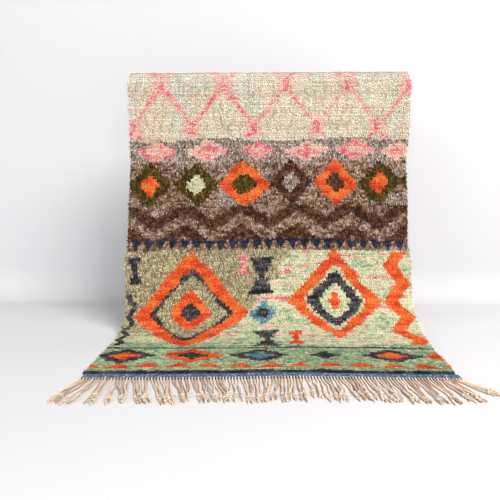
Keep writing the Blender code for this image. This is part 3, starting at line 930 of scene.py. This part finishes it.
def strand_lines(strands):
    """The middle line of every strand, from its stitch over the heading's edge to its tip."""
    chance = default_rng(17)
    along = np.linspace(0, 1, STRAND_RINGS)
    lines = []
    for strand in strands:
        reach = strand.length / math.hypot(1.0, strand.lean)
        forward = along * (reach + ROOT_REACH) - ROOT_REACH
        x = strand_sideways(chance, strand, along, reach)
        y = -(front_edge(strand.x / HEADING_HALF_WIDTH) + forward)
        lines.append(np.stack([x, y, strand_height(strand, along, forward) - HANG_HEIGHT], 1))
    return np.array(lines)


def line_frames(lines):
    """Unit directions along, beside and above every point of the lines."""
    along = np.gradient(lines, axis=1)
    along /= np.linalg.norm(along, axis=2, keepdims=True)
    beside = np.cross(along, (0.0, 0.0, 1.0))
    beside /= np.linalg.norm(beside, axis=2, keepdims=True)
    return along, beside, np.cross(beside, along)


def make_strands(lines):
    """Two-ply warps: tubes of an oval section that turns along them as the plies do."""
    count, rings, _ = lines.shape
    _, beside, above = line_frames(lines)
    steps = np.linalg.norm(np.diff(lines, axis=1), axis=2)
    run = np.concatenate([np.zeros((count, 1)), np.cumsum(steps, axis=1)], axis=1)
    chance = default_rng(23)
    twist = 2 * math.pi * run / PLY_TURN + chance.uniform(*ANY_TURN, (count, 1))
    corner = np.linspace(0, 2 * math.pi, STRAND_SIDES, endpoint=False)
    oval = np.stack([STRAND_OVAL[0] * np.cos(corner), STRAND_OVAL[1] * np.sin(corner)])
    c, s = np.cos(twist)[..., None], np.sin(twist)[..., None]
    wide = (oval[0] * c - oval[1] * s) * STRAND_RADIUS
    high = (oval[0] * s + oval[1] * c) * STRAND_RADIUS
    points = lines[:, :, None] + wide[..., None] * beside[:, :, None] + high[..., None] * above[:, :, None]
    number = np.arange(count * rings * STRAND_SIDES).reshape(count, rings, STRAND_SIDES)
    after = np.roll(number, -1, axis=2)
    faces = np.stack([number[:, :-1], after[:, :-1], after[:, 1:], number[:, 1:]], -1).reshape(-1, 4)
    caps = np.vstack([number[:, 0, ::-1], number[:, -1]])
    sizes = np.array([4] * len(faces) + [STRAND_SIDES] * len(caps))
    corners = np.concatenate([faces.ravel(), caps.ravel()])
    made = object_from_arrays("warp_strands", points.reshape(-1, 3), corners, sizes)
    shades = linear_all(STRAND_SHADES)
    own = shades[chance.integers(0, len(shades), count)][:, None, None]
    # painted light: the warps are painted lighter towards the right
    own = own * (1 + PAINTED_LIGHT_RIGHT * lines[:, :1, :1, None])
    fleck = chance.uniform(0.88, 1.06, (count, rings, 1, 1))
    # painted shade: each strand is painted darker in the grooves between its plies, turning with the twist
    groove = np.abs(np.sin(corner))[None, None, :, None] ** 2
    painted_groove_shade = 1 - groove * (1 - linear("CEB094"))
    paint(made, "POINT", np.minimum(own * fleck * painted_groove_shade, 0.95).reshape(-1, 3))
    return made


def model_hitch():
    """The loop of a knot tied near a strand's end: a lumpy ring round Y."""
    bpy.ops.mesh.primitive_torus_add(
        major_radius=0.0052, minor_radius=0.0036, major_segments=8, minor_segments=5, rotation=LYING
    )
    apply_transform()
    hitch = bpy.context.object
    for vertex in hitch.data.vertices:
        vertex.co.y *= 1.35
        vertex.co.y += 0.0016 * math.sin(3 * math.atan2(vertex.co.z, vertex.co.x))
    return take_pattern(hitch)


def make_hitches(lines, hitch):
    """A knot near the end of every strand."""
    along, beside, above = line_frames(lines)
    chance = default_rng(29)
    own = np.arange(len(lines))
    at = (chance.uniform(KNOT_FROM, KNOT_TO, len(lines)) * (STRAND_RINGS - 1)).astype(int)
    size = chance.uniform(0.70, 1.08, (len(lines), 1))
    x_axes, z_axes = turned(beside[own, at], above[own, at], chance.uniform(*ANY_TURN, len(lines)))
    origins = lines[own, at] + (0, 0, 0.0046)
    made = repeat_pattern("warp_knots", hitch, origins, x_axes * size, along[own, at] * size, z_axes * size)
    paint_each(made, hitch, "D4C0A4", chance, 0.85, 1.05)
    return made


def model_fibre():
    """A wisp of untwisted warp: three-sided, lying along +Y, with its end curled over to +X."""
    bpy.ops.mesh.primitive_circle_add(vertices=3, radius=0.0015, rotation=LYING)
    apply_transform()
    bpy.ops.object.mode_set(mode="EDIT")
    bpy.ops.mesh.extrude_region_move(TRANSFORM_OT_translate={"value": (0, 0.0090, 0)})
    bpy.ops.mesh.spin(steps=4, angle=math.radians(-85), center=(0.0105, 0.0090, 0), axis=(0, 0, 1))
    bpy.ops.mesh.merge(type="CENTER")
    bpy.ops.mesh.select_all(action="SELECT")
    bpy.ops.mesh.normals_make_consistent(inside=False)
    bpy.ops.object.mode_set(mode="OBJECT")
    return take_pattern(bpy.context.object)


FIBRES_PER_STRAND = 14


def make_frays(lines, fibre):
    """The untwisted wisps past each knot, spread and curled on the floor."""
    along, beside, above = line_frames(lines)
    chance = default_rng(37)
    count = len(lines) * FIBRES_PER_STRAND
    own = np.repeat(np.arange(len(lines)), FIBRES_PER_STRAND)
    at = (chance.uniform(0.80, 0.96, count) * (STRAND_RINGS - 1)).astype(int)
    x_axes, y_axes = turned(beside[own, at], along[own, at], chance.normal(0, 0.30, count))
    flip = chance.choice((-1.0, 1.0), (count, 1))
    long = chance.uniform(0.6, 1.5, (count, 1))
    up = above[own, at]
    origins = lines[own, at] - y_axes * 0.004 + up * chance.uniform(-0.0005, 0.0045, (count, 1))
    made = repeat_pattern("frayed_ends", fibre, origins, x_axes * long * flip, y_axes * long, up * flip)
    paint_each(made, fibre, "DECEBA", chance, 0.82, 1.04)
    return made


def model_bead():
    """One turn of the edge cord between two warps: a fat drop lying along Y."""
    bpy.ops.mesh.primitive_uv_sphere_add(segments=8, ring_count=6, radius=1.0, rotation=LYING)
    apply_transform()
    bead = bpy.context.object
    bead.scale = (0.0042, 0.0140, 0.0042)
    apply_transform()
    return take_pattern(bead)


def make_edge_cord(strands, bead):
    """The twined cord that locks the warps at the heading's edge, seen as a bead between each two."""
    roots = np.array([s.x for s in strands])
    middles = (roots[:-1] + roots[1:]) / 2
    forward = front_edge(middles / HEADING_HALF_WIDTH) - 0.0080
    height = np.full(len(middles), HEADING_THICKNESS + 0.0006 - HANG_HEIGHT)
    origins = np.stack([middles, -forward, height], 1)
    chance = default_rng(41)
    right, back, up = np.tile(np.eye(3)[:, None], (1, len(middles), 1))
    x_axes, y_axes = turned(right, back, chance.normal(0.30, 0.10, len(middles)))
    made = repeat_pattern("edge_cord", bead, origins, x_axes, y_axes, up)
    paint_each(made, bead, "20263A", chance, 0.7, 1.5)
    return made


# Materials

def add_node(tree, kind, links=(), **settings):
    """Adds a shader node, sets its named sockets and attributes, and links outputs to its sockets."""
    node = tree.nodes.new(kind)
    for name, value in settings.items():
        if name in node.inputs:
            node.inputs[name].default_value = value
        else:
            setattr(node, name, value)
    for output, socket in links:
        tree.links.new(output, node.inputs[socket])
    return node


def new_material(name, roughness, sheen=0.0, specular=0.5):
    """A material whose finish is set, and its tree and shader."""
    material = bpy.data.materials.new(name)
    material.use_nodes = True
    tree = material.node_tree
    shader = next(n for n in tree.nodes if n.type == "BSDF_PRINCIPLED")
    shader.inputs["Roughness"].default_value = roughness
    shader.inputs["Sheen Weight"].default_value = sheen
    shader.inputs["Sheen Roughness"].default_value = 0.55
    shader.inputs["Specular IOR Level"].default_value = specular
    return material, tree, shader


def spun(name, roughness, sheen, specular, hair, contrast, relief, ribs=False):
    """A material of spun fibres: light and dark hairs over the yarn's own colour, and their relief."""
    material, tree, shader = new_material(name, roughness, sheen, specular)
    yarn = add_node(tree, "ShaderNodeVertexColor", layer_name=COLOUR_NAME)
    place = add_node(tree, "ShaderNodeTexCoord")
    hairs = add_node(
        tree, "ShaderNodeTexNoise", [(place.outputs["Object"], "Vector")],
        Scale=1 / hair, Detail=3.0, Roughness=0.6,
    )
    spread = add_node(
        tree, "ShaderNodeMapRange", [(hairs.outputs["Fac"], "Value")],
        **{"From Min": 0.3, "From Max": 0.7, "To Min": 1 - contrast, "To Max": 1 + contrast},
    )
    tint = add_node(
        tree, "ShaderNodeVectorMath",
        [(yarn.outputs["Color"], 0), (spread.outputs["Result"], 1)], operation="MULTIPLY",
    )
    bump = add_node(
        tree, "ShaderNodeBump", [(hairs.outputs["Fac"], "Height")], Strength=0.5, Distance=relief
    )
    if ribs:
        bump = knot_ribs(tree, bump)
    tree.links.new(tint.outputs["Vector"], shader.inputs["Base Color"])
    tree.links.new(bump.outputs["Normal"], shader.inputs["Normal"])
    return material


def knot_ribs(tree, fine):
    """The relief of a rib to each row of knots, over the fine relief of the hairs."""
    place = add_node(tree, "ShaderNodeUVMap", uv_map=BAKE_MAP)
    ribs = add_node(
        tree, "ShaderNodeTexWave", [(place.outputs["UV"], "Vector")],
        Scale=2 * math.pi * KNOT_ROWS / (20 * MAP_HEIGHT), Distortion=0.4, Detail=1.0, bands_direction="Y",
    )
    return add_node(
        tree, "ShaderNodeBump",
        [(ribs.outputs["Fac"], "Height"), (fine.outputs["Normal"], "Normal")], Strength=0.9, Distance=0.0018,
    )


def wool_pile():
    """Hand-spun wool pile: matt, with a faint bright sheen where the hairs catch the light."""
    return spun("hand-spun wool pile", 0.95, 0.06, 0.12, hair=0.0022, contrast=0.22, relief=0.0008)


def knot_backs():
    """The rug's back: flat ribs of knot collars and beaten weft, harder and duller than the pile."""
    return spun("wool knot backs", 0.88, 0.08, 0.25, hair=0.0018, contrast=0.18, relief=0.0005, ribs=True)


def ground_wool():
    """The collars of the knots between the locks: the same wool, packed and in shade."""
    return spun("packed wool ground", 0.95, 0.05, 0.20, hair=0.0030, contrast=0.30, relief=0.0012)


def heading_wool():
    """Weft-faced flat weave in indigo wool: smooth ribs with flecks where the dye took unevenly."""
    return spun("indigo weft-faced weave", 0.80, 0.12, 0.30, hair=0.0016, contrast=0.18, relief=0.0005)


def warp_cotton():
    """Plied ecru warp: slightly smoother than wool, with the twist's fine hairs."""
    return spun("plied ecru warp", 0.78, 0.15, 0.30, hair=0.0012, contrast=0.14, relief=0.0004)


def edge_wool():
    """Navy twining yarn: dark and matt, against which the warps' stitches show as dots."""
    return spun("navy twining wool", 0.85, 0.10, 0.25, hair=0.0014, contrast=0.20, relief=0.0004)


def studio_paper():
    """The set's pale grey paper, which can be looked through from behind."""
    material, tree, shader = new_material("pale studio paper", roughness=0.9)
    shader.inputs["Base Color"].default_value = (*linear("C4C4C6"), 1.0)
    side = add_node(tree, "ShaderNodeNewGeometry")
    clear = add_node(tree, "ShaderNodeBsdfTransparent")
    both = add_node(
        tree, "ShaderNodeMixShader",
        [(side.outputs["Backfacing"], 0), (shader.outputs["BSDF"], 1), (clear.outputs["BSDF"], 2)],
    )
    output = next(n for n in tree.nodes if n.type == "OUTPUT_MATERIAL")
    tree.links.new(both.outputs["Shader"], output.inputs["Surface"])
    return material


# The set

STAGE_REACH = 12.0  # how far the floor and the wall run
COVE_START = 0.60  # where the floor begins to curve up into the wall, behind the rug
COVE_RADIUS = 0.28
COVE_POINTS = 13


def make_stage():
    """The studio's floor, which curves up into its wall."""
    turns = np.radians(np.linspace(0, 90, COVE_POINTS))
    arc_y = COVE_START + COVE_RADIUS * np.sin(turns)
    arc_z = COVE_RADIUS * (1 - np.cos(turns))
    profile = [(-STAGE_REACH, 0.0), *zip(arc_y, arc_z), (COVE_START + COVE_RADIUS, STAGE_REACH)]
    sides = (-STAGE_REACH, STAGE_REACH)
    points = np.array([(x, y, z - HANG_HEIGHT) for y, z in profile for x in sides])
    starts = np.arange(len(profile) - 1)[:, None] * 2
    made = object_from_arrays("studio_sweep", points, (starts + (0, 1, 3, 2)).ravel(), [4] * len(starts))
    made.data.materials.append(studio_paper())
    return made


# A square soft light: its place, what it points at, its side, its power and its colour
Lamp = namedtuple("Lamp", "name place target side power colour")
LAMPS = (
    Lamp("key", (6.5, -8.5, 8.5), (0.0, 0.0, -0.9), 6.0, 2020.0, "FFFDFA"),
    Lamp("front", (0.6, -7.5, 0.4), (0.0, 0.0, -0.9), 4.0, 240.0, "FFFFFF"),
    Lamp("fill", (-5.0, -6.0, 0.8), (0.0, 0.0, -0.9), 4.0, 121.0, "FCFDFF"),
    Lamp("wall", (-4.5, -3.8, 1.6), (-1.6, 0.85, -0.3), 2.5, 53.0, "FCFDFF"),
    Lamp("floor", (3.3, -2.4, 2.6), (2.4, -1.8, -1.7), 1.5, 92.0, "FFFDFA"),
)


def add_lamps():
    for lamp in LAMPS:
        bpy.ops.object.light_add(type="AREA", location=lamp.place)
        made = bpy.context.object
        made.name = lamp.name
        made.data.size = lamp.side
        made.data.energy = lamp.power
        made.data.color = linear(lamp.colour)
        away = Vector(lamp.place) - Vector(lamp.target)
        made.rotation_euler = away.to_track_quat("Z", "Y").to_euler()


def add_sky():
    world = bpy.data.worlds.new("studio air")
    world.use_nodes = True
    air = next(n for n in world.node_tree.nodes if n.type == "BACKGROUND")
    air.inputs["Color"].default_value = (*linear("FAFBFD"), 1.0)
    air.inputs["Strength"].default_value = 0.238
    bpy.context.scene.world = world
    bpy.context.scene.view_settings.view_transform = "Standard"


CAMERA_BACK = 4.04  # how far in front of the fold the camera stands
CAMERA_HEIGHT = 0.97  # above the floor
CAMERA_SIDE = -0.047
CAMERA_LENS = 40.0
CAMERA_DOWN = 6.16  # degrees below level
CAMERA_LEFT = 1.27  # degrees to the left


def add_camera():
    place = (CAMERA_SIDE, -CAMERA_BACK, CAMERA_HEIGHT - HANG_HEIGHT)
    turn = (math.radians(90 - CAMERA_DOWN), 0, math.radians(CAMERA_LEFT))
    bpy.ops.object.camera_add(location=place, rotation=turn)
    camera = bpy.context.object
    camera.data.lens = CAMERA_LENS
    bpy.context.scene.camera = camera


# The rug

def dress_rug():
    lock = model_lock()
    ground = make_ground()
    ground.data.materials.append(knot_backs())
    ground.data.materials.append(ground_wool())
    pile_material = wool_pile()
    names = ("pile_tail", "pile_top", "pile_middle", "pile_sweep", "pile_front")
    edges = np.linspace(0, KNOT_ROWS, len(names) + 1).astype(int)
    pile = []
    for name, first, last in zip(names, edges, edges[1:]):
        made = make_pile(name, lock, first, last)
        made.data.materials.append(pile_material)
        pile.append(made)
    heading = make_heading()
    heading.data.materials.append(heading_wool())
    strands = strand_plan()
    lines = strand_lines(strands)
    cotton = warp_cotton()
    fringe = [make_strands(lines), make_hitches(lines, model_hitch()), make_frays(lines, model_fibre())]
    for made in fringe:
        made.data.materials.append(cotton)
    edge_cord = make_edge_cord(strands, model_bead())
    edge_cord.data.materials.append(edge_wool())
    for made in (ground, *pile, heading, edge_cord):
        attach(made, "root")
    for made in fringe:
        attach(made, "root")
    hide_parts("rug_cloth")
    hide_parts("front_fringe")


dress_rug()
make_stage()
add_lamps()
add_sky()
add_camera()
